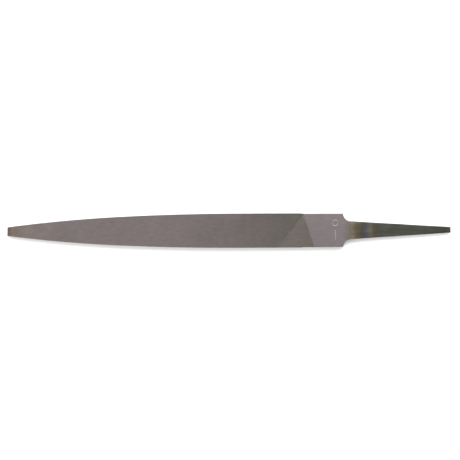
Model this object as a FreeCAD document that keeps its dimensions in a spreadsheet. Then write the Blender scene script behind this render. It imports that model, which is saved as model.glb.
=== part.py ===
"""Flat file of the 200 mm size, cut on both faces and both edges, with a bare tang.

A file is one bar of tool steel, so each sub-part here is one of its named zones, closed
and meeting its neighbours face to face: the blade's core, the ground heel with its two
shoulders, the tang, and the four layers of metal that the chisel cuts into teeth.

Every sub-part is drawn with X as the distance from the point and Z = 0 in the middle of
the thickness. Its Placement then puts the middle of the length at X = 0 and the lower
crests of the teeth at Z = 0. Millimetres, point towards -X, tang towards +X.
"""

import FreeCAD, Part
import math
import os
import Sketcher

V = FreeCAD.Vector

# name, size, what it measures
SIZES = [
    ("blade_length", 200.0, "point to shoulder corner"),
    ("tang_length", 64.4, "shoulder corner to the end of the tang"),
    ("belly_from_point", 138.0, "widest place of the blade"),
    ("belly_width", 20.2, "ground blank at its widest"),
    ("heel_width", 20.0, "ground blank at the shoulder corner"),
    ("belly_radius", 1490.0, "edge curve from the belly forwards"),
    ("nose_from_point", 69.0, "where the nose curve takes over"),
    ("nose_radius", 847.0, "edge curve from there to the point"),
    ("thickness", 5.0, "over the crests of both faces"),
    ("point_thickness", 2.2, "the same at the point"),
    ("thinning_from_point", 100.0, "where the faces start to thin"),
    ("raised", 0.15, "crests above the ground surface"),
    ("sunk", 0.15, "layers of face teeth below the ground surface"),
    ("edge_sunk", 1.0, "layers of edge teeth below the ground surface"),
    ("heel_from_point", 175.5, "where the core and the edge teeth meet the heel"),
    ("cut_end_from_point", 176.5, "where the last row of face teeth meets the +Y edge"),
    ("upcut_angle", 71.0, "rows of teeth to the length, on the faces"),
    ("edge_cut_angle", 75.0, "rows of teeth to the length, on the edges"),
    ("tooth_pitch", 0.5, "along the length"),
    ("tooth_depth", 0.2, "crest to gullet"),
    ("tooth_front", 0.1, "run of the steep front, which faces the point"),
    ("tooth_land", 0.06, "flat along the top of a tooth"),
    ("shoulder_end", 205.0, "point to the end of the shoulder curves"),
    ("shoulder_radius", 4.8, "concave curve from blade to tang"),
    ("shoulder_round", 0.3, "broken corner of the shoulder"),
    ("tang_root_width", 10.74, "tang where the shoulder curves end"),
    ("tang_end_width", 3.55, "tang at its end"),
    ("tang_end_thickness", 1.8, "tang at its end"),
    ("tang_corner", 0.4, "rounded long corners of the tang"),
]

doc = FreeCAD.newDocument("flat_file")
sheet = doc.addObject("Spreadsheet::Sheet", "Sizes")
for row, (name, value, meaning) in enumerate(SIZES, start=1):
    sheet.set(f"A{row}", name)
    sheet.set(f"B{row}", str(value))
    sheet.set(f"C{row}", meaning)
    sheet.setAlias(f"B{row}", name)
doc.recompute()


def size(name):
    """A driving dimension, read from the sheet."""
    return float(sheet.get(name))


def with_sheet(text):
    """An expression with each size's name turned into its cell."""
    for name, _, _ in sorted(SIZES, key=lambda entry: -len(entry[0])):
        text = text.replace(f"<{name}>", f"Sizes.{name}")
    return text


def place(sub_part):
    """Put the middle of the length at X = 0 and the lower crests at Z = 0."""
    sub_part.setExpression("Placement.Base.x", with_sheet("-(<blade_length> + <tang_length>) / 2"))
    sub_part.setExpression("Placement.Base.z", with_sheet("<thickness> / 2"))


# ---------------------------------------------------------------- outline of the blade
# Each edge is three curves, tangent where they meet: nose, belly and heel. Their centres
# are kept when the outline is offset, so the core, the ground blank and the crests of the
# teeth are parallel to each other.

HEEL_RADIUS = (
    "((<blade_length> - <belly_from_point>)^2 + ((<belly_width> - <heel_width>) / 2)^2)"
    " / (<belly_width> - <heel_width>)"
)


def heel_radius():
    run = size("blade_length") - size("belly_from_point")
    drop = (size("belly_width") - size("heel_width")) / 2
    return (run**2 + drop**2) / (2 * drop)


def edge_circles():
    """Centre and radius of the nose, belly and heel curves of the ground blank."""
    top = V(size("belly_from_point"), size("belly_width") / 2, 0)
    belly = top - V(0, size("belly_radius"), 0)
    heel = top - V(0, heel_radius(), 0)
    run = size("belly_from_point") - size("nose_from_point")
    joint = V(-run, math.sqrt(size("belly_radius") ** 2 - run**2), 0)
    nose = belly + joint * (1 - size("nose_radius") / size("belly_radius"))
    return {
        "nose": (nose, size("nose_radius")),
        "belly": (belly, size("belly_radius")),
        "heel": (heel, heel_radius()),
    }


CIRCLES = edge_circles()


def half_width(x, proud):
    """Half the blade's width at x, on the outline that stands proud of the ground one."""
    curve = "heel"
    if x < size("belly_from_point"):
        curve = "belly"
    if x < size("nose_from_point"):
        curve = "nose"
    centre, radius = CIRCLES[curve]
    return centre.y + math.sqrt((radius + proud) ** 2 - (x - centre.x) ** 2)


def edge_arc(curve, x_from, x_to, proud=0.0):
    """The named curve of the +Y edge, as an arc that starts at its tang end."""
    centre, radius = CIRCLES[curve]
    radius += proud
    start = math.acos((x_to - centre.x) / radius)
    end = math.acos((x_from - centre.x) / radius)
    return Part.ArcOfCircle(Part.Circle(centre, V(0, 0, 1), radius), start, end)


# ---------------------------------------------------------------- thickness of the blade
# Both faces are parallel from the heel forwards, then bend in one long curve to the point.

CORE_THICKNESS = "<thickness> - 2 * <raised> - 2 * <sunk>"
GROUND_THICKNESS = "<thickness> - 2 * <raised>"
THINNING_DROP = "(<thickness> - <point_thickness>) / 2"
THINNING_RADIUS = f"(<thinning_from_point>^2 + ({THINNING_DROP})^2) / (2 * {THINNING_DROP})"


def thinning_circle():
    """Centre and radius of the curve of the upper crests, in X and height."""
    run = size("thinning_from_point")
    drop = (size("thickness") - size("point_thickness")) / 2
    radius = (run**2 + drop**2) / (2 * drop)
    return V(run, 0, size("thickness") / 2 - radius), radius


THIN_CENTRE, THIN_RADIUS = thinning_circle()


def face_height(x, below):
    """Height over the middle of the thickness, at a depth below the crests."""
    reach = max(THIN_CENTRE.x - x, 0)
    return THIN_CENTRE.z + math.sqrt((THIN_RADIUS - below) ** 2 - reach**2)


# ---------------------------------------------------------------- sketch helpers
START, END, CENTRE = 1, 2, 3
ORIGIN = (-1, 1)
X_AXIS, Y_AXIS = (-1,), (-2,)


def new_body(name):
    body = doc.addObject("PartDesign::Body", name)
    body.Label = name
    place(body)
    return body


def origin_feature(body, role):
    """One of the body's own origin planes or axes."""
    return next(feature for feature in body.Origin.OriginFeatures if feature.Role == role)


def new_sketch(body, name, role, offset=None):
    """A sketch on one of the body's own origin planes, moved along its normal by offset."""
    sketch = body.newObject("Sketcher::SketchObject", name)
    sketch.AttachmentSupport = (origin_feature(body, role), [""])
    sketch.MapMode = "FlatFace"
    if offset:
        sketch.setExpression("AttachmentOffset.Base.z", with_sheet(offset))
    return sketch


def bind(sketch, kind, places, expression):
    """A dimension of the sketch, bound to an expression on the sheet."""
    value = sketch.evalExpression(with_sheet(expression))
    number = sketch.addConstraint(Sketcher.Constraint(kind, *places, value))
    sketch.setExpression(f"Constraints[{number}]", with_sheet(expression))


def join(sketch, kind, first, second):
    sketch.addConstraint(Sketcher.Constraint(kind, *first, *second))


def arc_between(centre, start, end):
    """An arc that turns left, from start to end, about centre."""
    angles = [math.atan2(spot.y - centre.y, spot.x - centre.x) for spot in (start, end)]
    if angles[1] < angles[0]:
        angles[1] += 2 * math.pi
    circle = Part.Circle(centre, V(0, 0, 1), (start - centre).Length)
    return Part.ArcOfCircle(circle, *angles)


def line(sketch, start, end):
    return sketch.addGeometry(Part.LineSegment(start, end), False)


def run_straight(sketch, horizontal, vertical):
    for number in horizontal:
        sketch.addConstraint(Sketcher.Constraint("Horizontal", number))
    for number in vertical:
        sketch.addConstraint(Sketcher.Constraint("Vertical", number))


def pad(body, sketch, length):
    feature = body.newObject("PartDesign::Pad", sketch.Name + "_pad")
    feature.Profile = sketch
    feature.Midplane = True
    feature.setExpression("Length", with_sheet(length))
    return feature


def pocket(body, sketch, length, both_sides=False):
    feature = body.newObject("PartDesign::Pocket", sketch.Name + "_pocket")
    feature.Profile = sketch
    feature.Midplane = both_sides
    feature.setExpression("Length", with_sheet(length))
    return feature


def mirrored(body, name, original, role):
    feature = body.newObject("PartDesign::Mirrored", name)
    feature.Originals = [original]
    feature.MirrorPlane = (origin_feature(body, role), [""])
    body.Tip = feature
    return feature


def round_edges(body, name, base, radius, chosen):
    """Round the edges of base whose bounding box is one of the chosen."""
    edges = [f"Edge{n}" for n, edge in enumerate(base.Shape.Edges, start=1) if chosen(edge.BoundBox)]
    assert edges, f"{name} finds no edge to round"
    feature = body.newObject("PartDesign::Fillet", name)
    feature.Base = (base, edges)
    feature.setExpression("Radius", with_sheet(radius))
    return feature


# ---------------------------------------------------------------- blade core
def make_blade_core():
    """The blank under the teeth: curved edges, and faces that thin towards the point."""
    body = new_body("blade_core")
    sunk = size("edge_sunk")
    joint = size("nose_from_point")
    belly = size("belly_from_point")
    end = size("heel_from_point")

    plan = new_sketch(body, "core_plan", "XY_Plane")
    nose = plan.addGeometry(edge_arc("nose", 0, joint, -sunk), False)
    middle = plan.addGeometry(edge_arc("belly", joint, belly, -sunk), False)
    heel = plan.addGeometry(edge_arc("heel", belly, end, -sunk), False)
    back = line(plan, V(end, 0, 0), V(end, half_width(end, -sunk), 0))
    axis = line(plan, V(0, 0, 0), V(end, 0, 0))
    front = line(plan, V(0, half_width(0, -sunk), 0), V(0, 0, 0))
    join(plan, "Tangent", (nose, START), (middle, END))
    join(plan, "Tangent", (middle, START), (heel, END))
    join(plan, "Coincident", (heel, START), (back, END))
    join(plan, "Coincident", (back, START), (axis, END))
    join(plan, "Coincident", (front, END), (axis, START))
    join(plan, "Coincident", (nose, END), (front, START))
    join(plan, "Coincident", (axis, START), ORIGIN)
    join(plan, "Vertical", (middle, START), (middle, CENTRE))
    run_straight(plan, horizontal=[axis], vertical=[back, front])
    bind(plan, "Radius", (nose,), "<nose_radius> - <edge_sunk>")
    bind(plan, "Radius", (middle,), "<belly_radius> - <edge_sunk>")
    bind(plan, "DistanceX", (*ORIGIN, middle, END), "<nose_from_point>")
    bind(plan, "DistanceX", (*ORIGIN, middle, START), "<belly_from_point>")
    bind(plan, "DistanceY", (*ORIGIN, middle, START), "<belly_width> / 2 - <edge_sunk>")
    bind(plan, "Radius", (heel,), HEEL_RADIUS + " - <edge_sunk>")
    bind(plan, "DistanceX", (*ORIGIN, axis, END), "<heel_from_point>")
    half = pad(body, plan, CORE_THICKNESS)
    mirrored(body, "core_other_half", half, "XZ_Plane")

    layer = size("raised") + size("sunk")
    thin_end = V(size("thinning_from_point"), face_height(end, layer), 0)
    clear = V(0, size("thickness"), 0)
    side = new_sketch(body, "core_side", "XZ_Plane")
    centre = V(THIN_CENTRE.x, THIN_CENTRE.z, 0)
    point_angle = math.acos(-THIN_CENTRE.x / (THIN_RADIUS - layer))
    circle = Part.Circle(centre, V(0, 0, 1), THIN_RADIUS - layer)
    curve = side.addGeometry(Part.ArcOfCircle(circle, math.pi / 2, point_angle), False)
    rise = line(side, thin_end, V(thin_end.x, clear.y, 0))
    top = line(side, V(thin_end.x, clear.y, 0), clear)
    front = line(side, clear, V(0, face_height(0, layer), 0))
    join(side, "Coincident", (curve, START), (rise, START))
    join(side, "Coincident", (rise, END), (top, START))
    join(side, "Coincident", (top, END), (front, START))
    join(side, "Coincident", (front, END), (curve, END))
    join(side, "Vertical", (curve, START), (curve, CENTRE))
    run_straight(side, horizontal=[top], vertical=[rise, front])
    bind(side, "Radius", (curve,), f"{THINNING_RADIUS} - <raised> - <sunk>")
    bind(side, "DistanceX", (*ORIGIN, curve, START), "<thinning_from_point>")
    bind(side, "DistanceY", (*ORIGIN, curve, START), f"({CORE_THICKNESS}) / 2")
    bind(side, "DistanceY", (*ORIGIN, top, END), "<thickness>")
    side.addConstraint(Sketcher.Constraint("PointOnObject", front, START, *Y_AXIS))
    thinned = pocket(body, side, "2 * <belly_width>", both_sides=True)
    mirrored(body, "core_lower_thinning", thinned, "XY_Plane")
    return body


# ---------------------------------------------------------------- heel
def make_heel():
    """The bare end of the blade, with a concave shoulder on each side of the tang."""
    body = new_body("heel")
    start = size("heel_from_point")
    root = V(size("shoulder_end"), size("tang_root_width") / 2, 0)
    hollow = size("shoulder_radius")
    broken = size("shoulder_round")
    hollow_centre = root + V(0, hollow, 0)
    # the broken corner's circle touches the edge from inside and the hollow from outside
    corner = V(root.x - hollow, size("heel_width") / 2 - broken, 0)
    for _ in range(4):
        above = hollow_centre.y - corner.y
        corner.x = root.x - math.sqrt((hollow + broken) ** 2 - above**2)
        corner.y = half_width(corner.x, -broken)
    edge_centre = CIRCLES["heel"][0]
    edge_touch = corner + (corner - edge_centre).normalize() * broken
    hollow_touch = corner + (hollow_centre - corner).normalize() * broken

    plan = new_sketch(body, "heel_plan", "XY_Plane")
    edge = plan.addGeometry(edge_arc("heel", start, edge_touch.x), False)
    round_off = plan.addGeometry(arc_between(corner, hollow_touch, edge_touch), False)
    shoulder = plan.addGeometry(arc_between(hollow_centre, hollow_touch, root), False)
    back = line(plan, root, V(root.x, 0, 0))
    axis = line(plan, V(root.x, 0, 0), V(start, 0, 0))
    front = line(plan, V(start, 0, 0), V(start, half_width(start, 0), 0))
    join(plan, "Tangent", (edge, START), (round_off, END))
    join(plan, "Tangent", (round_off, START), (shoulder, START))
    join(plan, "Coincident", (shoulder, END), (back, START))
    join(plan, "Coincident", (back, END), (axis, START))
    join(plan, "Coincident", (axis, END), (front, START))
    join(plan, "Coincident", (front, END), (edge, END))
    join(plan, "Vertical", (shoulder, END), (shoulder, CENTRE))
    plan.addConstraint(Sketcher.Constraint("PointOnObject", axis, START, *X_AXIS))
    run_straight(plan, horizontal=[axis], vertical=[back, front])
    bind(plan, "Radius", (edge,), HEEL_RADIUS)
    bind(plan, "DistanceX", (*ORIGIN, edge, CENTRE), "<belly_from_point>")
    bind(plan, "DistanceY", (*ORIGIN, edge, CENTRE), f"<belly_width> / 2 - {HEEL_RADIUS}")
    bind(plan, "DistanceX", (*ORIGIN, front, START), "<heel_from_point>")
    bind(plan, "Radius", (round_off,), "<shoulder_round>")
    bind(plan, "Radius", (shoulder,), "<shoulder_radius>")
    bind(plan, "DistanceX", (*ORIGIN, back, START), "<shoulder_end>")
    bind(plan, "DistanceY", (*ORIGIN, back, START), "<tang_root_width> / 2")
    half = pad(body, plan, GROUND_THICKNESS)
    whole = mirrored(body, "heel_other_half", half, "XZ_Plane")
    doc.recompute()
    full_volume = whole.Shape.Volume

    # The cut runs onto the heel, up to its last row, which lies slantwise. The file turned
    # over about its length shows the same step on its other face.
    reach = size("belly_width")
    corner_y = size("heel_width") / 2
    slant = 1 / math.tan(math.radians(size("upcut_angle")))
    near_x = size("cut_end_from_point") - (reach - corner_y) * slant
    far_x = size("cut_end_from_point") + (reach + corner_y) * slant
    before_x = start - (far_x - start)
    wedge = new_sketch(body, "heel_wedge", "XY_Plane", f"({GROUND_THICKNESS}) / 2")
    last_row = line(wedge, V(near_x, reach, 0), V(far_x, -reach, 0))
    lower = line(wedge, V(far_x, -reach, 0), V(before_x, -reach, 0))
    inside = line(wedge, V(before_x, -reach, 0), V(before_x, reach, 0))
    upper = line(wedge, V(before_x, reach, 0), V(near_x, reach, 0))
    join(wedge, "Coincident", (last_row, END), (lower, START))
    join(wedge, "Coincident", (lower, END), (inside, START))
    join(wedge, "Coincident", (inside, END), (upper, START))
    join(wedge, "Coincident", (upper, END), (last_row, START))
    run_straight(wedge, horizontal=[lower, upper], vertical=[inside])
    cotangent = "/ tan(<upcut_angle> * 1 deg)"
    near = f"<cut_end_from_point> - (<belly_width> - <heel_width> / 2) {cotangent}"
    far = f"<cut_end_from_point> + (<belly_width> + <heel_width> / 2) {cotangent}"
    bind(wedge, "DistanceX", (*ORIGIN, last_row, START), near)
    bind(wedge, "DistanceY", (*ORIGIN, last_row, START), "<belly_width>")
    bind(wedge, "DistanceX", (*ORIGIN, last_row, END), far)
    bind(wedge, "DistanceY", (*ORIGIN, last_row, END), "-<belly_width>")
    bind(wedge, "DistanceX", (*ORIGIN, inside, START), f"2 * <heel_from_point> - ({far})")
    step = pocket(body, wedge, "<sunk>")
    doc.recompute()
    both = body.newObject("PartDesign::PolarPattern", "heel_both_wedges")
    both.Originals = [step]
    both.Axis = (origin_feature(body, "X_Axis"), [""])
    both.Angle = 360
    both.Occurrences = 2
    body.Tip = both
    doc.recompute()
    one_wedge = full_volume - step.Shape.Volume
    assert one_wedge > 0 and abs(full_volume - both.Shape.Volume - 2 * one_wedge) < 1e-3
    return body


# ---------------------------------------------------------------- tang
def make_tang():
    """The spike for a handle: it tapers evenly in width and thickness and ends square."""
    body = new_body("tang")
    taper = body.newObject("PartDesign::AdditiveWedge", "tang_taper")
    taper.AttachmentSupport = (origin_feature(body, "XY_Plane"), [""])
    taper.MapMode = "FlatFace"
    taper.AttachmentOffset = FreeCAD.Placement(V(0, 0, 0), FreeCAD.Rotation(V(0, 0, 1), -90))
    taper.setExpression("AttachmentOffset.Base.x", with_sheet("<shoulder_end>"))
    # The wedge grows along its own Y, which the turn above lays along the file's length.
    taper.Ymin = 0
    taper.setExpression("Ymax", with_sheet("<blade_length> + <tang_length> - <shoulder_end>"))
    for low, high, across in (
        ("Xmin", "Xmax", "<tang_root_width>"),
        ("Zmin", "Zmax", GROUND_THICKNESS),
        ("X2min", "X2max", "<tang_end_width>"),
        ("Z2min", "Z2max", "<tang_end_thickness>"),
    ):
        taper.setExpression(low, with_sheet(f"-({across}) / 2"))
        taper.setExpression(high, with_sheet(f"({across}) / 2"))
    doc.recompute()
    length = size("blade_length") + size("tang_length") - size("shoulder_end")
    round_edges(body, "tang_corners", taper, "<tang_corner>", lambda box: box.XLength > 0.9 * length)
    return body


# ---------------------------------------------------------------- layers of teeth
# Each layer is a few hundred rows of teeth whose height follows the blade's curves. The
# steep front of every tooth faces the point and its back falls away towards the tang.

TOOTH_POINTS = 3  # gullet, end of the front, end of the land


def tooth_line(first, last, height):
    """Points of a row of teeth seen from the side: gullet, front, land, back, and so on."""
    front = size("tooth_front")
    land = size("tooth_land")
    pitch = size("tooth_pitch")
    points = []
    for number in range(math.ceil((last - first) / pitch), 0, -1):
        gullet = last - number * pitch
        points.append((gullet, height(gullet) - size("tooth_depth")))
        points.append((gullet + front, height(gullet + front)))
        points.append((gullet + front + land, height(gullet + front + land)))
    points.append((last, height(last) - size("tooth_depth")))
    return points


def swept_teeth(profile, along, reach):
    """The closed profile carried both ways along the direction of the rows."""
    face = Part.Face(Part.makePolygon([*profile, profile[0]]))
    face.translate(along * -reach)
    return face.extrude(along * (2 * reach))


def ground_outline_solid(last):
    """The ground outline of both edges from the point to last, far thicker than the blade."""
    joints = [0, size("nose_from_point"), size("belly_from_point"), last]
    upper = [edge_arc(name, joints[n], joints[n + 1]).toShape() for n, name in enumerate(CIRCLES)]
    lower = [edge.mirror(V(0, 0, 0), V(0, 1, 0)) for edge in upper]
    ends = []
    for x in (0, last):
        ends.append(Part.makeLine(V(x, -half_width(x, 0), 0), V(x, half_width(x, 0), 0)))
    outline = Part.Wire(Part.__sortEdges__([*upper, *lower, *ends]))
    tall = 2 * size("thickness")
    solid = Part.Face(outline).extrude(V(0, 0, tall))
    solid.translate(V(0, 0, -tall / 2))
    return solid


def core_thickness_slab(last):
    """The core's thickness from the point to last, far wider than the blade."""
    layer = size("raised") + size("sunk")
    bend = size("thinning_from_point")
    wide = 2 * size("belly_width")
    top = Part.Arc(
        V(0, 0, face_height(0, layer)),
        V(bend / 2, 0, face_height(bend / 2, layer)),
        V(bend, 0, face_height(bend, layer)),
    ).toShape()
    flat = Part.makeLine(V(bend, 0, face_height(bend, layer)), V(last, 0, face_height(last, layer)))
    below = [edge.mirror(V(0, 0, 0), V(0, 0, 1)) for edge in (top, flat)]
    ends = []
    for x in (0, last):
        ends.append(Part.makeLine(V(x, 0, -face_height(x, layer)), V(x, 0, face_height(x, layer))))
    side = Part.Wire(Part.__sortEdges__([top, flat, *below, *ends]))
    solid = Part.Face(side).extrude(V(0, wide, 0))
    solid.translate(V(0, -wide / 2, 0))
    return solid


def upper_face_layer():
    """The cut layer of the upper face, which ends on its last slanting row.

    It is two solids that meet in a gullet, the thinning length and the parallel length, so
    that each one alone is nearly convex.
    """
    angle = math.radians(size("upcut_angle"))
    along = V(math.cos(angle), -math.sin(angle), 0)
    last = size("cut_end_from_point") + size("heel_width") / 2 / math.tan(angle)
    before_point = -size("belly_width") / 2 / math.tan(angle)
    crests = tooth_line(before_point, last, lambda x: face_height(x, 0))
    gullets = range(0, len(crests), TOOTH_POINTS)
    joint = next(n for n in gullets if crests[n][0] >= size("thinning_from_point"))
    far = 2 * last - size("cut_end_from_point") + size("tooth_pitch")
    outline = ground_outline_solid(far)
    core = core_thickness_slab(far)
    lengths = []
    for rows in (crests[:joint + 1], crests[joint:]):
        profile = [V(x, 0, z) for x, z in rows]
        profile += [V(rows[-1][0], 0, 0), V(rows[0][0], 0, 0)]
        teeth = swept_teeth(profile, along, size("belly_width"))
        lengths.append(teeth.common(outline).cut(core))
    return Part.Compound(lengths)


def left_edge_layer(core):
    """The cut layer of the edge on the +Y side, which ends square at the heel."""
    angle = math.radians(size("edge_cut_angle"))
    along = V(math.cos(angle), 0, math.sin(angle))
    last = size("heel_from_point")
    spare = size("thickness") / math.tan(angle)
    crests = tooth_line(-spare, last + spare, lambda x: half_width(x, size("raised")))
    profile = [V(x, y, 0) for x, y in crests]
    profile += [V(crests[-1][0], 0, 0), V(crests[0][0], 0, 0)]
    teeth = swept_teeth(profile, along, size("thickness"))
    return teeth.common(core_thickness_slab(last)).cut(core.Tip.Shape)


def make_layer(name, shape, turned):
    """A layer of teeth; turned, it is the same layer with the file rolled half round."""
    feature = doc.addObject("Part::Feature", name)
    feature.Label = name
    solids = shape.Solids
    feature.Shape = Part.Compound(solids) if len(solids) > 1 else solids[0]
    if turned:
        feature.Placement = FreeCAD.Placement(V(0, 0, 0), FreeCAD.Rotation(V(1, 0, 0), 180))
    place(feature)
    return feature


# ---------------------------------------------------------------- build and write
blade_core = make_blade_core()
heel = make_heel()
tang = make_tang()
doc.recompute()
face_layer = upper_face_layer()
edge_layer = left_edge_layer(blade_core)
face_layers = [
    make_layer("upper_face_teeth", face_layer, turned=False),
    make_layer("lower_face_teeth", face_layer, turned=True),
]
edge_layers = [
    make_layer("left_edge_teeth", edge_layer, turned=False),
    make_layer("right_edge_teeth", edge_layer, turned=True),
]
doc.recompute()

for item in doc.Objects:
    if item.isDerivedFrom("Sketcher::SketchObject"):
        assert item.FullyConstrained, f"{item.Name} has loose dimensions"
    failed = [word for word in item.State if word in ("Invalid", "Error")]
    assert not failed, f"{item.Name} is {item.State}"

os.makedirs("parts", exist_ok=True)
for sub_part in [blade_core, heel, tang, *face_layers, *edge_layers]:
    shape = sub_part.Shape
    assert not shape.isNull() and shape.isValid(), f"{sub_part.Label} has no valid shape"
    wanted = 2 if sub_part in face_layers else 1
    assert len(shape.Solids) == wanted, f"{sub_part.Label} has {len(shape.Solids)} solids"
    shape.exportStep(f"parts/{sub_part.Label}.step")
    box = shape.BoundBox
    print(f"{sub_part.Label:18} volume {shape.Volume:9.2f}  X {box.XMin:8.3f} {box.XMax:8.3f}"
          f"  Y {box.YMin:7.3f} {box.YMax:7.3f}  Z {box.ZMin:6.3f} {box.ZMax:6.3f}")
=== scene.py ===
# %% [markdown]
# # A flat file, modelled and finished in Blender
#
# A hand file is one bar of hard steel. Its two faces and two edges carry thousands of small
# teeth that a chisel raised, its heel is bare ground metal, and its tang was heated again so
# that it would not snap, which left bands of temper colour. This lesson builds those teeth
# as real shapes around a fixed CAD frame, and then finishes each surface.

# %% Load the frame
import math

import bmesh
import bpy
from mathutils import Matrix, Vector, noise


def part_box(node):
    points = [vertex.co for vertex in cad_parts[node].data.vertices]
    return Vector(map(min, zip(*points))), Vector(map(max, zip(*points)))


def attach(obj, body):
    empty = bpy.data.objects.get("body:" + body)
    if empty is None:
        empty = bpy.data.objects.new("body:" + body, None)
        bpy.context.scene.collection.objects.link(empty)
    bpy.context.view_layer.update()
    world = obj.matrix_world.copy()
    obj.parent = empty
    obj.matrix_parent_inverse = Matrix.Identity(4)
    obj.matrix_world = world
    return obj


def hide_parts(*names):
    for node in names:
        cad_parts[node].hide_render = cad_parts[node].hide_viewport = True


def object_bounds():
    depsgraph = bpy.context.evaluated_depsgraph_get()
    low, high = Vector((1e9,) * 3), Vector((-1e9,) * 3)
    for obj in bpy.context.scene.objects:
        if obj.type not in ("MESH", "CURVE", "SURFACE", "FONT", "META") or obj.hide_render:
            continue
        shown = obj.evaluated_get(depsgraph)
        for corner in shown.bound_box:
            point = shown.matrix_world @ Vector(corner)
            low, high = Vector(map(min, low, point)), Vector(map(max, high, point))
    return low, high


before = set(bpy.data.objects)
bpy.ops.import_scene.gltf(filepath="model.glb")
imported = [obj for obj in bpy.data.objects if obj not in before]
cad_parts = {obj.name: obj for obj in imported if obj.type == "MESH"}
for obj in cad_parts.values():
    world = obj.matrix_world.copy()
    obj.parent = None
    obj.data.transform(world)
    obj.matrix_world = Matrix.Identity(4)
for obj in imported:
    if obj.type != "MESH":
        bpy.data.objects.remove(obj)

MM = 0.001
cad_low, cad_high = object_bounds()
print("frame nodes:", sorted(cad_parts))
print("box in mm:", [round(side / MM, 2) for side in cad_high - cad_low])

# %% [markdown]
# The file lies along X with its point towards -X. Every length below is counted from the
# point, as a file maker counts it, so POINT_X is added to place it in the frame.
# The curves of the outline are arcs, tangent to each other, that the drawing of the
# file gives: a nose arc, a belly arc, and a very flat arc from the belly to the heel.

# %% Sizes of the file
POINT_X = cad_low.x
MIDDLE_Z = (cad_low.z + cad_high.z) / 2
CREST_Z = cad_high.z - MIDDLE_Z  # height of the teeth over the middle of the thickness
RAISED = 0.15 * MM  # the crests stand this far above the ground surface
SUNK = 0.15 * MM  # the layer with teeth starts this far under it
DEPTH = 0.2 * MM  # from a crest down to its gullet

BELLY_X = 138 * MM
BELLY_HALF = cad_high.y - RAISED
BELLY_RADIUS = 1490 * MM
NOSE_X = 69 * MM
NOSE_RADIUS = 847 * MM
SHOULDER_X = 200 * MM
HEEL_HALF = 10 * MM
HEEL_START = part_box("heel")[0].x - POINT_X
TANG_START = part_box("heel")[1].x - POINT_X
TANG_ROOT_HALF = 5.37 * MM
THINNING_X = 100 * MM
THINNING_DROP = 1.4 * MM


def edge_circles():
    """Centre and radius of the arcs of the ground edge, with X counted from the point."""
    top = Vector((BELLY_X, BELLY_HALF, 0))
    drop = BELLY_HALF - HEEL_HALF
    heel_radius = ((SHOULDER_X - BELLY_X) ** 2 + drop**2) / (2 * drop)
    belly = top - Vector((0, BELLY_RADIUS, 0))
    back = BELLY_X - NOSE_X
    joint = belly + Vector((-back, math.sqrt(BELLY_RADIUS**2 - back**2), 0))
    nose = belly.lerp(joint, 1 - NOSE_RADIUS / BELLY_RADIUS)
    return {
        "nose": (nose, NOSE_RADIUS),
        "belly": (belly, BELLY_RADIUS),
        "heel": (top - Vector((0, heel_radius, 0)), heel_radius),
    }


CIRCLES = edge_circles()


def half_width(from_point):
    """Half the width of the ground blade, without the teeth on its edges."""
    name = "nose" if from_point < NOSE_X else "belly" if from_point < BELLY_X else "heel"
    centre, radius = CIRCLES[name]
    return centre.y + math.sqrt(radius**2 - (from_point - centre.x) ** 2)


def thinning(from_point):
    """How far each face has come in towards the middle of the thickness."""
    reach = max(THINNING_X - from_point, 0)
    radius = (THINNING_X**2 + THINNING_DROP**2) / (2 * THINNING_DROP)
    return radius - math.sqrt(radius**2 - reach**2)


print("half width at point, belly and heel in mm:",
      [round(half_width(x) / MM, 2) for x in (0, BELLY_X, SHOULDER_X)])

# %% [markdown]
# Modelling by script uses the same operators as modelling by hand. A few small helpers keep
# the steps short. An operator acts on all that is selected, so the first ones select one
# object, enter edit mode, and select only the points that pass a test of their place.

# %% Selecting and editing
def only(obj):
    """Leave obj as the one selected and active object."""
    bpy.ops.object.select_all(action="DESELECT")
    obj.select_set(True)
    bpy.context.view_layer.objects.active = obj


def edit(obj):
    """Enter edit mode on obj with all of it selected."""
    only(obj)
    bpy.ops.object.mode_set(mode="EDIT")
    bpy.ops.mesh.select_mode(type="VERT")
    bpy.ops.mesh.select_all(action="SELECT")


def done():
    bpy.ops.object.mode_set(mode="OBJECT")


def pick(obj, test):
    """In edit mode, select only the points that pass a test of their place."""
    bpy.ops.mesh.select_all(action="DESELECT")
    mesh = bmesh.from_edit_mesh(obj.data)
    for point in mesh.verts:
        point.select_set(test(point.co))
    mesh.select_flush(True)


def named(obj, name):
    obj.name = obj.data.name = name
    return obj


# %% [markdown]
# Modifiers do what would be slow point by point. Each is applied at once, so that the next
# step works on its result: an Array repeats a tooth and merges it with its neighbour, and
# a Boolean cuts one closed mesh with another.

# %% Applying modifiers
HAIR = 0.01 * MM  # points that are nearer than this are one point


def modify(obj, kind, **settings):
    """Add one modifier to obj with these settings and apply it."""
    only(obj)
    modifier = obj.modifiers.new(kind.lower(), kind)
    for setting, value in settings.items():
        setattr(modifier, setting, value)
    bpy.ops.object.modifier_apply(modifier=modifier.name)


def repeat(obj, step, count):
    """Copy obj in a row, each copy one step on, and merge the points where copies meet."""
    modify(obj, "ARRAY", count=count, use_relative_offset=False, use_constant_offset=True,
           constant_offset_displace=step, use_merge_vertices=True, merge_threshold=HAIR)


def combine(obj, other, operation):
    """Cut obj with another closed mesh, which is then deleted."""
    modify(obj, "BOOLEAN", operation=operation, object=other, solver="MANIFOLD")
    bpy.data.objects.remove(other)


# %% [markdown]
# An outline is drawn as with a pen: a small plane is merged to one point, the point is put
# in its place, and extruding it leaves a line behind.

# %% Drawing
def start_line(name, place):
    """Enter edit mode on a new mesh of one point, which extruding draws on from."""
    bpy.ops.object.select_all(action="DESELECT")
    bpy.ops.mesh.primitive_plane_add(size=MM)
    obj = named(bpy.context.object, name)
    edit(obj)
    bpy.ops.mesh.merge(type="CENTER")
    bpy.ops.transform.translate(value=place)
    return obj


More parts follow.
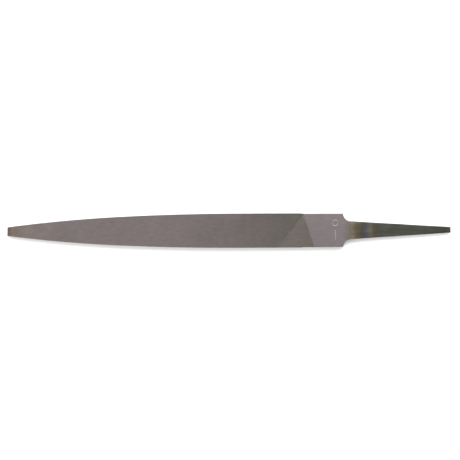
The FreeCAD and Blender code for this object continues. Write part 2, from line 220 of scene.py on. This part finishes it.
def draw(step):
    """Extrude what is selected by one straight step."""
    bpy.ops.mesh.extrude_region_move(TRANSFORM_OT_translate={"value": step})


# %% [markdown]
# ## The cut
#
# A double-cut face is made in two passes. The over-cut lays slanting grooves across the
# blade, and the up-cut crosses them at another angle and splits them into separate
# diamond teeth. Only the up-cut goes on to the very end, so a wedge near the heel is
# single cut. The spacing is about 20 rows to the centimetre, a fine second cut.
#
# A bump map could fake this, but then no light would catch a real tooth edge. The teeth
# are all alike, so one is modelled and Array modifiers repeat it.

# %% The two directions of the cut
UP_ANGLE = math.radians(71)
OVER_ANGLE = math.radians(53)
UP_PITCH = 0.5 * MM
OVER_PITCH = 0.6 * MM
up_way = Vector((math.cos(UP_ANGLE), -math.sin(UP_ANGLE), 0))
over_way = Vector((math.cos(OVER_ANGLE), math.sin(OVER_ANGLE), 0))
off_row = Vector((math.sin(UP_ANGLE), math.cos(UP_ANGLE), 0))  # square to an up-cut row
off_groove = Vector((math.sin(OVER_ANGLE), -math.cos(OVER_ANGLE), 0))
crossing = math.sin(UP_ANGLE + OVER_ANGLE)
next_tooth = up_way * OVER_PITCH / crossing
next_row = over_way * UP_PITCH / crossing
CUT_END_X = 176.5 * MM
CUT_END = Vector((POINT_X + CUT_END_X, HEEL_HALF, cad_high.z))  # where both cuts end, on +Y

print("teeth along a row every", round(next_tooth.length / MM, 3), "mm")

# %% [markdown]
# One tooth stands on a slanted cell of the grid. It has a steep front towards the point,
# a long back, and two flanks that the over-cut left. The cell is drawn by extruding a
# point, its face is extruded up, and the top's sides are slid in until they leave only a
# small flat crest. A row of the single cut is the same shape without flanks.

# %% One tooth
FRONT = 0.22  # share of the cell's length that the steep front takes
BACK = 0.68  # and the long back
FLANK = 0.3  # share of the cell's width that each flank takes


def raised_cell(name, corner, along, across, flanked):
    """A tooth or a row on one cell, open underneath, its crest level with the corner."""
    obj = start_line(name, corner - Vector((0, 0, DEPTH)))
    draw(along)
    bpy.ops.mesh.select_all(action="SELECT")
    draw(across)
    bpy.ops.mesh.select_all(action="SELECT")
    draw((0, 0, DEPTH))
    slopes = [(off_row, across, FRONT, BACK)]
    if flanked:
        slopes.append((off_groove, along, FLANK, FLANK))
    for square, side, near, far in slopes:
        middle = (corner + side / 2).dot(square)
        pick(obj, lambda co: co.z > corner.z - DEPTH / 2 and co.dot(square) < middle)
        bpy.ops.transform.translate(value=side * near)
        pick(obj, lambda co: co.z > corner.z - DEPTH / 2 and co.dot(square) > middle)
        bpy.ops.transform.translate(value=-side * far)
    pick(obj, lambda co: co.z < corner.z - DEPTH / 2)
    bpy.ops.mesh.delete(type="ONLY_FACE")
    done()
    return obj


# %% [markdown]
# The grid is slanted, so copying along one row and then along one groove would drift off
# the blade. Three rows on and two teeth along is nearly straight down the blade, so a
# narrow band of teeth across the blade is copied along that. Both sheets start from the
# place where the cuts end, which makes their rows run on into each other.

# %% Sheets of teeth
BAND_ROWS = 3
BAND_TEETH = 2
BANDS = 125
TEETH_ACROSS = 46
TEETH_OVER = 14  # how many of them lie beyond the +Y edge at the heel end
SINGLE_ROWS = 48
SINGLE_ACROSS = 36  # length of a single-cut row, counted in teeth
SINGLE_OVER = 2  # how much of it lies beyond the +Y edge
BLOCK = 2 * MM  # metal under the gullets, trimmed off by the outline


def face_outwards(obj):
    edit(obj)
    bpy.ops.mesh.normals_make_consistent(inside=False)
    done()


def close_block(obj):
    """Give an open sheet of teeth straight walls and a flat bottom."""
    edit(obj)
    bpy.ops.mesh.select_mode(type="EDGE")
    bpy.ops.mesh.select_all(action="DESELECT")
    bpy.ops.mesh.select_non_manifold()
    draw((0, 0, -BLOCK))
    bpy.ops.mesh.edge_face_add()
    done()
    face_outwards(obj)


def double_cut_sheet():
    band = BAND_ROWS * next_row + BAND_TEETH * next_tooth
    corner = CUT_END - BANDS * band - TEETH_OVER * next_tooth
    sheet = raised_cell("double_cut", corner, next_tooth, next_row, flanked=True)
    repeat(sheet, next_row, BAND_ROWS)
    repeat(sheet, next_tooth, TEETH_ACROSS)
    repeat(sheet, band, BANDS)
    close_block(sheet)
    return sheet


def single_cut_sheet():
    spacing = Vector((UP_PITCH / math.sin(UP_ANGLE), 0, 0))
    corner = CUT_END - SINGLE_ROWS * spacing - SINGLE_OVER * next_tooth
    row = SINGLE_ACROSS * next_tooth
    sheet = raised_cell("single_cut", corner, row, spacing, flanked=False)
    repeat(sheet, spacing, SINGLE_ROWS)
    close_block(sheet)
    return sheet


double_cut = double_cut_sheet()
single_cut = single_cut_sheet()
print("faces:", len(double_cut.data.polygons), "and", len(single_cut.data.polygons))

# %% [markdown]
# ## The outline of the blade
#
# The blade's plan is drawn the way it is set out on paper: a point is spun around the
# centre of each arc, the line is mirrored, and the two lines are bridged. The strips run
# square across the blade, so they can follow its thinning and stay flat.

# %% Plan of the blade
STRIP = 2.5 * MM


def ground_plan(name, start, end, level):
    """Draw the +Y edge between two lengths, and stay in edit mode at its end."""
    obj = start_line(name, (POINT_X + start, half_width(start), level))
    for arc, stop in (("nose", NOSE_X), ("belly", BELLY_X), ("heel", end)):
        stop = min(stop, end)
        if stop > start:
            centre, radius = CIRCLES[arc]
            turn = math.asin((stop - centre.x) / radius) - math.asin((start - centre.x) / radius)
            bpy.ops.mesh.spin(steps=math.ceil((stop - start) / STRIP), angle=turn, dupli=False,
                              center=(POINT_X + centre.x, centre.y, level), axis=(0, 0, 1))
            start = stop
    return obj


def fill_plan(obj):
    """Leave edit mode, mirror the drawn edge, and join both edges with strips."""
    done()
    modify(obj, "MIRROR", use_axis=(False, True, False), use_mirror_merge=False)
    edit(obj)
    bpy.ops.mesh.bridge_edge_loops()
    done()


# %% [markdown]
# Made thick, the plan is a cutter that trims each block of teeth to the blade. The blade
# also thins towards its point. A Displace modifier moves every point down by its share of
# that, in the teeth and in their cutter alike, so the rows run on over the thin end. The
# cutter is then cut in two along the line on which the over-cut ends.

# %% Trim the teeth to the blade
LAYER_END = 184.5 * MM  # past the last row, which slants back to the -Y edge


def push(obj, axis, reach, share):
    """Move every point along an axis by reach times its own share, from 0 to 1."""
    group = obj.vertex_groups.new(name="share")
    for point in obj.data.vertices:
        group.add([point.index], share(point.co), "REPLACE")
    modify(obj, "DISPLACE", direction=axis, strength=reach, mid_level=0, vertex_group="share")
    obj.vertex_groups.clear()


def thin_to_point(obj, lowest):
    """Let the points above a height follow the blade's thinning."""
    def share(co):
        return thinning(co.x - POINT_X) / THINNING_DROP if co.z > lowest else 0

    push(obj, "Z", -THINNING_DROP, share)


def clear_beyond(obj, place, square):
    """Remove the part of a closed mesh on the side that square points to."""
    edit(obj)
    bpy.ops.mesh.bisect(plane_co=place, plane_no=square, clear_outer=True, use_fill=True)
    done()


def layer_cutter(square):
    """The space of a cut layer on one side of the line on which the over-cut ends."""
    level = cad_high.z - RAISED - SUNK
    cutter = ground_plan("layer_cutter", 0, LAYER_END, level)
    fill_plan(cutter)
    thin_to_point(cutter, 0)
    edit(cutter)
    draw((0, 0, 2 * (RAISED + SUNK)))
    done()
    face_outwards(cutter)
    clear_beyond(cutter, CUT_END, square)
    return cutter


def is_closed(obj):
    """Whether each edge of a mesh joins exactly two faces."""
    mesh = bmesh.new()
    mesh.from_mesh(obj.data)
    closed = all(edge.is_manifold for edge in mesh.edges)
    mesh.free()
    return closed


for sheet, square in ((double_cut, off_groove), (single_cut, -off_groove)):
    thin_to_point(sheet, cad_high.z - BLOCK / 2)
    combine(sheet, layer_cutter(square), "INTERSECT")
    print(sheet.name, "closed:", is_closed(sheet), "faces:", len(sheet.data.polygons))

# %% [markdown]
# The lower face is the upper one turned over half a turn about the length of the file, so
# that the cut slants the same way from whichever face is looked at. Copies of the finished
# layers are turned in edit mode, which leaves their objects at the origin.

# %% Lower face
def duplicate(obj, name):
    only(obj)
    bpy.ops.object.duplicate()
    return named(bpy.context.object, name)


def turn_over(obj):
    """Turn a piece half a turn about the line down the middle of the file."""
    edit(obj)
    bpy.ops.transform.rotate(value=math.pi, orient_axis="X", orient_type="GLOBAL",
                             center_override=(0, 0, MIDDLE_Z))
    done()
    return obj


named(double_cut, "upper_double_cut")
named(single_cut, "upper_single_cut")
lower_double_cut = turn_over(duplicate(double_cut, "lower_double_cut"))
lower_single_cut = turn_over(duplicate(single_cut, "lower_single_cut"))
print("lower crests at mm:", round(min(p.co.z for p in lower_double_cut.data.vertices) / MM, 3))

# %% [markdown]
# ## The heel
#
# The heel is left uncut, so it stays a flat ground surface, and it ends in two hollow
# shoulders that a handle stops against. Its plan goes on from the blade's: the flat arc of
# the edge, then one spin the other way for the hollow. Where the last rows of teeth lie
# on it, a step as deep as their layer is cut away, slanted like the rows.

# %% Heel blank with its shoulders
HOLLOW = 4.8 * MM
HOLLOW_STEPS = 14
BROKEN_CORNER = 0.25 * MM
GROUND_HALF = CREST_Z - RAISED
CORE_HALF = GROUND_HALF - SUNK


def block(name, low, high):
    """A closed box between two corners."""
    bpy.ops.object.select_all(action="DESELECT")
    low, high = Vector(low), Vector(high)
    bpy.ops.mesh.primitive_cube_add(size=1, location=(low + high) / 2, scale=high - low)
    bpy.ops.object.transform_apply()
    return named(bpy.context.object, name)


def heel_blank():
    centre = Vector((TANG_START, TANG_ROOT_HALF + HOLLOW, 0))
    drop = centre.y - HEEL_HALF
    corner = TANG_START - math.sqrt(HOLLOW**2 - drop**2)
    level = MIDDLE_Z - GROUND_HALF
    edge_end = corner - BROKEN_CORNER
    heel = ground_plan("heel_ground", HEEL_START, edge_end, level)
    turn = math.asin(drop / HOLLOW) + BROKEN_CORNER / HOLLOW
    hollow_start = centre - HOLLOW * Vector((math.cos(turn), math.sin(turn), 0))
    draw(hollow_start - Vector((edge_end, half_width(edge_end), 0)))
    bpy.ops.mesh.spin(steps=HOLLOW_STEPS, angle=turn - math.pi / 2, dupli=False, axis=(0, 0, 1),
                      center=(POINT_X + centre.x, centre.y, level))
    fill_plan(heel)
    edit(heel)
    draw((0, 0, 2 * GROUND_HALF))
    done()
    face_outwards(heel)
    return heel


heel = heel_blank()
print("heel blank closed:", is_closed(heel), "faces:", len(heel.data.polygons))

# %% [markdown]
# A ground edge is never perfectly sharp, so the edges of the two ground faces get a narrow
# bevel along the blade and round the hollows. The two ends, where the blade and the tang
# go on, stay square so that no gap shows there. Then the steps for the teeth are cut.

# %% Broken edges and steps of the heel
BROKEN_EDGE = 0.3 * MM
STEP_BEFORE = 5 * MM  # the step's cutter reaches past the cut's end on both sides
STEP_AFTER = 15 * MM


def break_edges(obj, test, width):
    """Bevel the edges of a closed mesh whose two ends pass a test together."""
    edit(obj)
    bpy.ops.mesh.select_mode(type="EDGE")
    bpy.ops.mesh.select_all(action="DESELECT")
    for line in bmesh.from_edit_mesh(obj.data).edges:
        line.select_set(test(line.verts[0].co, line.verts[1].co))
    bpy.ops.mesh.bevel(offset=width, segments=3, affect="EDGES")
    done()


def along_heel(a, b):
    """Edges that run along one side of a ground face."""
    return a.y * b.y > 0 and abs(a.z - b.z) < HAIR < abs(a.x - b.x)


def step_cutter():
    """The space of the last rows of teeth on the upper side of the heel."""
    low = (CUT_END.x - STEP_BEFORE, -2 * HEEL_HALF, MIDDLE_Z + CORE_HALF)
    high = (CUT_END.x + STEP_AFTER, 2 * HEEL_HALF, MIDDLE_Z + 2 * CORE_HALF)
    cutter = block("step_cutter", low, high)
    clear_beyond(cutter, CUT_END, off_row)
    return cutter


break_edges(heel, along_heel, BROKEN_EDGE)
combine(heel, step_cutter(), "DIFFERENCE")
combine(heel, turn_over(step_cutter()), "DIFFERENCE")
print("heel closed:", is_closed(heel), "faces:", len(heel.data.polygons))

# %% [markdown]
# Makers press a shallow mark into the heel. Here a plain ring and a bar stand for it. Both
# are cut with simple shapes that only just dip into the surface.

# %% Pressed mark on the heel
MARK_X = POINT_X + 195.5 * MM
MARK_DEPTH = 0.1 * MM
RING_Y = 4.6 * MM
RING_RADIUS = 1.7 * MM
RING_LINE = 0.45 * MM  # half the thickness of the wire that presses the ring
BAR_Y = -2.6 * MM
BAR_LENGTH = 6 * MM
BAR_WIDTH = 1 * MM
BAR_FOOT = (0.5, 0.95, 1)  # size of the bar's foot against its top


def ring_stamp(place, radius, line):
    """A ring of round wire that dips into the surface by the depth of the mark."""
    bpy.ops.object.select_all(action="DESELECT")
    bpy.ops.mesh.primitive_torus_add(location=place + Vector((0, 0, line - MARK_DEPTH)),
                                     major_radius=radius, minor_radius=line,
                                     major_segments=48, minor_segments=16)
    bpy.ops.object.transform_apply()
    return named(bpy.context.object, "ring_stamp")


def bar_stamp(place, length, width):
    """A bar across the blade, narrower below so that the walls of its mark slope."""
    half = Vector((width / 2, length / 2, MARK_DEPTH))
    bar = block("bar_stamp", place - half, place + half)
    edit(bar)
    pick(bar, lambda co: co.z < place.z)
    bpy.ops.transform.resize(value=BAR_FOOT, center_override=place - Vector((0, 0, half.z)))
    done()
    return bar


ground = Vector((MARK_X, 0, MIDDLE_Z + GROUND_HALF))
ring = ring_stamp(ground + Vector((0, RING_Y, 0)), RING_RADIUS, RING_LINE)
combine(heel, ring, "DIFFERENCE")
bar = bar_stamp(ground + Vector((0, BAR_Y, 0)), BAR_LENGTH, BAR_WIDTH)
combine(heel, bar, "DIFFERENCE")
print("heel closed:", is_closed(heel), "faces:", len(heel.data.polygons))

# %% [markdown]
# ## The tang
#
# The tang is drawn out hot under the hammer, so it tapers in width and thickness, its corners
# are soft, and its sides aren't quite even. A box is tapered and bevelled, cut into rings that
# give it more points, and pushed in by a noise pattern.

# %% Forged tang
TANG_END_HALF = 1.775 * MM
TANG_END_THICK = 1.8 * MM
TANG_CORNER = 0.4 * MM
TANG_RINGS = 40
HAMMER_DENT = 0.14 * MM
DENT_SIZE = 6 * MM
DENT_FADE = 10 * MM  # over this length the dents grow from none at the heel
SMOOTH_ANGLE = math.radians(35)  # a corner sharper than this stays a crease
tang_low, tang_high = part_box("tang")


def forged_tang():
    root = Vector((0, TANG_ROOT_HALF, GROUND_HALF))
    tang = block("tang_forged", (tang_low.x, -root.y, MIDDLE_Z - root.z),
                 (tang_high.x, root.y, MIDDLE_Z + root.z))
    edit(tang)
    pick(tang, lambda co: co.x > tang_high.x - MM)
    bpy.ops.transform.resize(
        value=(1, TANG_END_HALF / TANG_ROOT_HALF, TANG_END_THICK / (2 * GROUND_HALF)),
        center_override=(tang_high.x, 0, MIDDLE_Z))
    done()
    break_edges(tang, lambda a, b: max(a.x, b.x) > tang_low.x + MM, TANG_CORNER)
    return tang


def add_rings(obj, start, end, count):
    """Cut a piece across at even stations, which adds points but no shape."""
    for ring in range(1, count):
        edit(obj)
        station = start + (end - start) * ring / count
        bpy.ops.mesh.bisect(plane_co=(station, 0, 0), plane_no=(1, 0, 0))
        done()


def dent(co):
    """How far a hammer blow has pushed the surface in, none where the tang joins the heel."""
    fade = min((co.x - tang_low.x) / DENT_FADE, (tang_high.x - co.x) / MM, 1)
    return fade * (0.5 + 0.5 * noise.noise(co / DENT_SIZE))


tang = forged_tang()
add_rings(tang, tang_low.x, tang_high.x - MM, TANG_RINGS)
push(tang, "NORMAL", -HAMMER_DENT, dent)
for piece in (heel, tang):
    only(piece)
    bpy.ops.object.shade_smooth_by_angle(angle=SMOOTH_ANGLE)
    modify(piece, "WEIGHTED_NORMAL", keep_sharp=True)
print("tang closed:", is_closed(tang), "faces:", len(tang.data.polygons))

# %% [markdown]
# ## Which piece stands for which node
#
# The pieces ride on the one body of the file and hide the plain CAD nodes they stand for.
# The core of the blade and the two toothed edges keep their CAD shapes, which are right
# already, and get finishes of the same kind as the new pieces.

# %% Pieces and nodes
STANDS_FOR = (
    (double_cut, "upper_face_teeth", "cut_steel"),
    (single_cut, "upper_face_teeth", "cut_steel"),
    (lower_double_cut, "lower_face_teeth", "cut_steel"),
    (lower_single_cut, "lower_face_teeth", "cut_steel"),
    (heel, "heel", "ground_steel"),
    (tang, "tang", "tempered_steel"),
)
for piece, node, slot in STANDS_FOR:
    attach(piece, "root")
    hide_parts(node)
print("pieces:", [piece.name for piece, _, _ in STANDS_FOR])

# %% [markdown]
# ## Materials
#
# All surfaces are the same high-carbon steel, so all are metallic, and what differs is how
# each surface was made. Colours are written as sRGB hex, as a colour picker shows them,
# and one function turns them into the linear values that a shader needs. Another function
# adds any kind of node, sets it and links it. Metals keep the shader's own IOR.

# %% Colours and nodes
def linear(code):
    """Turn an sRGB hex colour into linear red, green, blue and alpha."""
    channels = [int(code[i:i + 2], 16) / 255 for i in (1, 3, 5)]
    return [c / 12.92 if c <= 0.04045 else ((c + 0.055) / 1.055) ** 2.4 for c in channels] + [1]


def add(tree, kind, inputs=None, **settings):
    """Add a node with its settings. An input takes a value or another node's output."""
    node = tree.nodes.new("ShaderNode" + kind)
    for setting, value in settings.items():
        setattr(node, setting, value)
    for socket, value in (inputs or {}).items():
        if isinstance(value, bpy.types.NodeSocket):
            tree.links.new(value, node.inputs[socket])
        else:
            node.inputs[socket].default_value = value
    return node


def steel(name, roughness):
    """A bare metal, with its shader's fixed values on the shader's own sockets."""
    material = bpy.data.materials.new(name)
    material.use_nodes = True
    shader = material.node_tree.nodes["Principled BSDF"]
    shader.inputs["Metallic"].default_value = 1
    shader.inputs["Roughness"].default_value = roughness
    return material, material.node_tree, shader


# %% [markdown]
# Every pattern reads Object coordinates, which are places on the file in metres, so its
# size can be given in millimetres. Colours change slowly along the file, so they are
# looked up by the distance from the point, and noise then makes them uneven.

# %% Patterns
NOISE_LOW = 0.3  # noise seldom leaves these bounds
NOISE_HIGH = 0.7
NOISE_DETAIL = 2


def from_point(tree):
    """The place on the file, and its distance from the point in millimetres."""
    place = add(tree, "TexCoord").outputs["Object"]
    along = add(tree, "SeparateXYZ", {0: place}).outputs["X"]
    inputs = {0: along, 1: 1 / MM, 2: -POINT_X / MM}
    return place, add(tree, "Math", inputs, operation="MULTIPLY_ADD").outputs[0]


def zones(tree, distance, colours):
    """Colours that run into each other, given at distances in millimetres."""
    start, end = colours[0][0], colours[-1][0]
    share = add(tree, "MapRange", {0: distance, 1: start, 2: end}).outputs[0]
    ramp = add(tree, "ValToRGB", {0: share})
    stops = ramp.color_ramp.elements
    while len(stops) < len(colours):
        stops.new(0.5)
    for stop, (at, code) in zip(stops, colours):
        stop.position = (at - start) / (end - start)
        stop.color = linear(code)
    return ramp.outputs[0]


def speckle(tree, place, size, stretch=(1, 1, 1)):
    """Noise whose patches are about this many metres across, from 0 to 1."""
    moved = add(tree, "Mapping", {0: place, "Scale": stretch}).outputs[0]
    settings = {0: moved, "Scale": 1 / size, "Detail": NOISE_DETAIL}
    return add(tree, "TexNoise", settings).outputs["Fac"]


def tint(tree, colour, pattern, low, high):
    """Make a colour darker or brighter by a pattern, between two factors."""
    inputs = {0: pattern, 1: NOISE_LOW, 2: NOISE_HIGH, 3: low, 4: high}
    factor = add(tree, "MapRange", inputs).outputs[0]
    grey = add(tree, "CombineColor", {0: factor, 1: factor, 2: factor}).outputs[0]
    mix = add(tree, "Mix", {0: 1, 6: colour, 7: grey}, data_type="RGBA", blend_type="MULTIPLY")
    return mix.outputs[2]


# %% [markdown]
# Chisel-cut hardened steel: the file is cut soft, then heated and quenched. That leaves a dull
# warm grey, lightest towards the middle of the blade and darker towards the heel. Rust has
# started at the very point. The teeth are real shapes, so the material only brings the slow
# drift of colour, cloudy stains and a fine grain. Metal that a chisel tore up is rough, so its
# reflections are broad. The edges are darker still, and that darkening is painted shade: it
# draws dark rims along the outline and holds back the key light's glint on the edge teeth.

# %% Chisel-cut hardened steel
# lightest towards the middle of the blade, darker towards the heel
CUT_COLOURS = (
    (0, "#726156"), (2.5, "#847a75"), (30, "#847c7b"), (90, "#88807f"), (130, "#847c7b"),
    (150, "#7e7774"), (162, "#797570"), (170, "#79736e"), (185, "#7a736d"))
CUT_ROUGHNESS = 0.42
CUT_STAIN = 12 * MM
CUT_GRAIN = 1.6 * MM
GRAIN_STRETCH = (0.5, 1, 1)  # the grain is twice as long as it is wide
GRAIN_CONTRAST = 0.06
RUST = "#705437"
RUST_SPOT = 1.2 * MM
RUST_START = 0.5  # noise under this stays clean
RUST_FULL = 0.62
RUST_REACH = 7  # millimetres from the point


def rusted_point(tree, colour, place, distance):
    """Lay spots of rust over a colour, thickest at the point."""
    nearness = add(tree, "MapRange", {0: distance, 1: 0, 2: RUST_REACH, 3: 1, 4: 0}).outputs[0]
    noisy = speckle(tree, place, RUST_SPOT)
    spots = add(tree, "MapRange", {0: noisy, 1: RUST_START, 2: RUST_FULL}).outputs[0]
    mask = add(tree, "Math", {0: nearness, 1: spots}, operation="MULTIPLY").outputs[0]
    inputs = {0: mask, 6: colour, 7: linear(RUST)}
    return add(tree, "Mix", inputs, data_type="RGBA").outputs[2]


def chisel_cut_steel(name, darkest, lightest):
    """Steel with teeth, its stains between two factors of the plain colour; low factors also
    paint shade.
    """
    material, tree, shader = steel(name, CUT_ROUGHNESS)
    place, distance = from_point(tree)
    colour = zones(tree, distance, CUT_COLOURS)
    colour = tint(tree, colour, speckle(tree, place, CUT_STAIN), darkest, lightest)
    grain = speckle(tree, place, CUT_GRAIN, GRAIN_STRETCH)
    colour = tint(tree, colour, grain, 1 - GRAIN_CONTRAST, 1 + GRAIN_CONTRAST)
    colour = rusted_point(tree, colour, place, distance)
    tree.links.new(colour, shader.inputs["Base Color"])
    return material


cut_finish = chisel_cut_steel("chisel_cut_hardened_steel", darkest=0.96, lightest=1.04)
# The edges take low factors, which paint shade on them: dark rims along the outline.
shaded_edge_finish = chisel_cut_steel("edge_cut_steel_painted_shade", darkest=0.7, lightest=0.85)
print("finishes of the teeth:", cut_finish.name, shaded_edge_finish.name)

# %% [markdown]
# Surface-ground steel: a grinding wheel leaves fine scratches along the heel. They are
# really some hundredths of a millimetre apart, too fine to show, so they are drawn about
# ten times as coarse. The heel is lighter and cooler in colour than the teeth.
#
# Tempering the tang with a flame or hot lead lets an oxide film grow on the steel. Its
# thickness decides its colour: straw, brown, purple and blue come first, then a pale grey
# band, then brown again and a dark greenish scale. The bands follow the heat, so they are
# bowed and never quite even. They begin on the heel, so heel and tang share one recipe.

# %% Temper colours
TEMPER_COLOURS = (
    (200, "#7a7273"), (204.5, "#706861"), (206.5, "#655d52"), (208.6, "#514b3c"),
    (211, "#494438"), (212.3, "#443e3e"), (213.6, "#454144"), (215.1, "#464849"),
    (216.4, "#505049"), (217.6, "#5a4f42"), (219, "#49443a"), (222, "#42433d"),
    (245, "#42423c"), (262, "#373a32"), (264.2, "#45413f"))
TEMPER_BOW = 0.045  # millimetres for each square millimetre off the middle
TEMPER_WANDER = 1.6  # millimetres
WANDER_SIZE = 4 * MM
CLOUD = 5 * MM
SCRATCH_STRETCH = (0.06, 1, 1)


def temper_distance(tree, place, distance):
    """The distance that the temper colours follow: bowed across the tang, and uneven."""
    across = add(tree, "SeparateXYZ", {0: place}).outputs["Y"]
    bow = add(tree, "Math", {0: across, 1: across}, operation="MULTIPLY").outputs[0]
    bowed = add(tree, "Math", {0: bow, 1: -TEMPER_BOW / MM**2, 2: distance},
                operation="MULTIPLY_ADD").outputs[0]
    inputs = {0: speckle(tree, place, WANDER_SIZE), 1: TEMPER_WANDER, 2: bowed}
    return add(tree, "Math", inputs, operation="MULTIPLY_ADD").outputs[0]


# %% [markdown]
# The sides and broken edges of the heel and tang are darkened by the direction that they face,
# and that is painted shade, which draws dark rims along the outline.

# %% Ground and tempered steel
# share of the colour that the painted shade leaves on surfaces that look sideways
SIDE_SHADE = 0.6
SIDE_SHARPNESS = 8  # how nearly level a surface must be to count as the top


def paint_side_shade(tree, colour):
    """Paint shade on the surfaces that look sideways."""
    facing = add(tree, "SeparateXYZ", {0: add(tree, "TexCoord").outputs["Normal"]}).outputs["Z"]
    height = add(tree, "Math", {0: facing}, operation="ABSOLUTE").outputs[0]
    inputs = {0: height, 1: SIDE_SHARPNESS}
    flatness = add(tree, "Math", inputs, operation="POWER").outputs[0]
    return tint(tree, colour, flatness, SIDE_SHADE, 1)


def tempered_steel(name, roughness, patches, scratch, scratches):
    """Steel with the temper colours, cloudy patches, scratches of a width along it, and painted
    shade on its sides.
    """
    material, tree, shader = steel(name, roughness)
    place, distance = from_point(tree)
    colour = zones(tree, temper_distance(tree, place, distance), TEMPER_COLOURS)
    colour = tint(tree, colour, speckle(tree, place, CLOUD), 1 - patches, 1 + patches)
    fine = speckle(tree, place, scratch, SCRATCH_STRETCH)
    colour = tint(tree, colour, fine, 1 - scratches, 1 + scratches)
    # painted shade on the surfaces that look sideways
    colour = paint_side_shade(tree, colour)
    tree.links.new(colour, shader.inputs["Base Color"])
    return material


heel_finish = tempered_steel("surface_ground_heel_steel", roughness=0.36, patches=0.03,
                             scratch=0.5 * MM, scratches=0.06)
tang_finish = tempered_steel("flame_tempered_tang_steel", roughness=0.45, patches=0.1,
                             scratch=0.9 * MM, scratches=0.16)
print("finishes of heel and tang:", heel_finish.name, tang_finish.name)

# %% [markdown]
# Pressed steel: the stamp squeezed the walls of the mark bright, so the mark shows as pale
# lines, a little patchy where dirt has settled in them.

# %% Steel of the pressed mark
MARK_COLOURS = ((190, "#8b8283"), (205, "#847b76"))


def pressed_mark_steel():
    material, tree, shader = steel("pressed_mark_steel", 0.5)
    place, distance = from_point(tree)
    colour = zones(tree, distance, MARK_COLOURS)
    colour = tint(tree, colour, speckle(tree, place, MM), 0.8, 1.1)
    tree.links.new(colour, shader.inputs["Base Color"])
    return material


mark_finish = pressed_mark_steel()
print("finish of the mark:", mark_finish.name)

# %% [markdown]
# Each finish goes on the piece or CAD node that it belongs to. The faces of the pressed
# mark lie under the ground face, and are found by that.

# %% Give each piece its finish
FLUSH = 0.001 * MM  # nearer to the ground face than this counts as part of it
MARK_REACH_X = 4 * MM
MARK_REACH_Y = 8 * MM  # leaves out the broken edges


def finish(obj, *materials):
    obj.data.materials.clear()
    for material in materials:
        obj.data.materials.append(material)


for piece in (double_cut, single_cut, lower_double_cut, lower_single_cut):
    finish(piece, cut_finish)
# The edges' finish carries painted shade.
for node, material in (("blade_core", cut_finish), ("left_edge_teeth", shaded_edge_finish),
                       ("right_edge_teeth", shaded_edge_finish)):
    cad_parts[node].material_slots[0].material = material
finish(heel, heel_finish, mark_finish)
finish(tang, tang_finish)

marked = 0
for face in heel.data.polygons:
    sunk = MIDDLE_Z + GROUND_HALF - face.center.z
    off_mark = abs(face.center.x - MARK_X)
    beside = off_mark < MARK_REACH_X and abs(face.center.y) < MARK_REACH_Y
    if beside and FLUSH < sunk < 2 * MARK_DEPTH:
        face.material_index = 1
        marked += 1
print("faces of the pressed mark:", marked)

# %% [markdown]
# ## Floor and light
#
# The file lies on a matt pale bench top. Metal shows what it mirrors, so the light is soft
# and comes from all round, weaker from straight above, and two large lamps give it a
# direction and a faint shadow.

# %% Studio
FLOOR_PATCH = 30 * MM
LOW_SKY = 0.3  # up to this height the sky is as bright as at the horizon


def studio_floor():
    bpy.ops.object.select_all(action="DESELECT")
    bpy.ops.mesh.primitive_plane_add(size=8)
    floor = named(bpy.context.object, "floor")
    material = bpy.data.materials.new("matt_pale_floor")
    material.use_nodes = True
    tree = material.node_tree
    shader = tree.nodes["Principled BSDF"]
    shader.inputs["Roughness"].default_value = 0.9
    place = add(tree, "TexCoord").outputs["Object"]
    colour = tint(tree, linear("#f8f8f8"), speckle(tree, place, FLOOR_PATCH), 0.995, 1)
    tree.links.new(colour, shader.inputs["Base Color"])
    finish(floor, material)


def soft_light(name, size, power, place):
    """A square area light that points at the middle of the file."""
    lamp = bpy.data.lights.new(name, "AREA")
    lamp.size = size
    lamp.energy = power
    light = bpy.data.objects.new(name, lamp)
    bpy.context.scene.collection.objects.link(light)
    light.location = place
    light.rotation_euler = (-Vector(place)).to_track_quat("-Z", "Y").to_euler()


def studio_world(at_horizon, overhead):
    """Soft light from all round, weaker from straight above, where the camera hangs."""
    world = bpy.data.worlds.new("studio_world")
    world.use_nodes = True
    tree = world.node_tree
    background = tree.nodes["Background"]
    background.inputs["Color"].default_value = (1, 1, 1, 1)
    height = add(tree, "SeparateXYZ", {0: add(tree, "TexCoord").outputs["Generated"]})
    inputs = {0: height.outputs["Z"], 1: LOW_SKY, 2: 1, 3: at_horizon, 4: overhead}
    tree.links.new(add(tree, "MapRange", inputs).outputs[0], background.inputs["Strength"])
    bpy.context.scene.world = world


studio_floor()
studio_world(at_horizon=1.5, overhead=0.54)
soft_light("key_light", size=1.2, power=31, place=(0.2, 0.95, 1.25))
soft_light("side_light", size=0.8, power=6, place=(-1.2, -0.5, 0.7))
bpy.context.scene.view_settings.view_transform = "Standard"
print("lamps:", len(bpy.data.lights))

# %% [markdown]
# ## Camera
#
# The camera looks straight down on the file from 1.2 m, which is more than four times its
# length, so the outline is nearly free of perspective. The file fills almost the whole
# width, and the camera is turned by a quarter of a degree, so the file lies a little askew.

# %% Camera
DISTANCE = 1.2
TURN = math.radians(-0.245)
AIM = Vector((0.57 * MM, 0.42 * MM, MIDDLE_Z))
SENSOR = 36
FRAME_SHARE = 0.963  # share of the view's width that the file takes
SEEN_WIDTH = (cad_high.x - cad_low.x) / FRAME_SHARE

lens = bpy.data.cameras.new("camera")
lens.sensor_width = SENSOR
lens.lens = SENSOR * DISTANCE / SEEN_WIDTH
lens.clip_end = 20
camera = bpy.data.objects.new("camera", lens)
camera.location = AIM + Vector((0, 0, DISTANCE))
camera.rotation_euler = (0, 0, TURN)
bpy.context.scene.collection.objects.link(camera)
bpy.context.scene.camera = camera
print("lens in mm:", round(lens.lens, 1))
